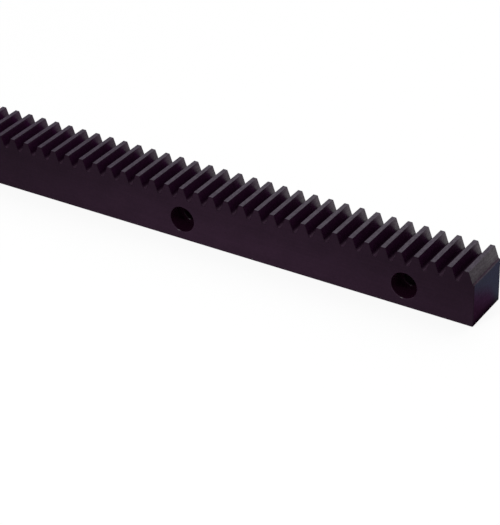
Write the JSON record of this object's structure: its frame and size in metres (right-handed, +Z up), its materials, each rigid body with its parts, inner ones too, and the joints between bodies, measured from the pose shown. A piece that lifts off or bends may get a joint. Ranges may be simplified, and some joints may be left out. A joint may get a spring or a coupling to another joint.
{
  "type": "gear rack",
  "caption": "Straight rectangular steel gear rack with full-depth spur teeth along its top and counterbored fixing holes through its side.",
  "frame": {"origin": "centre of the underside", "axes": "+X along the rack, -Y is the face with the counterbores, +Z up to the tooth tips"},
  "size_m": [1.0054, 0.04, 0.042],
  "materials": {
    "black_oxide_steel": "black oxide, satin, milled teeth"
  },
  "bodies": {
    "root": {"gear_rack": "black_oxide_steel"}
  },
  "joints": []
}
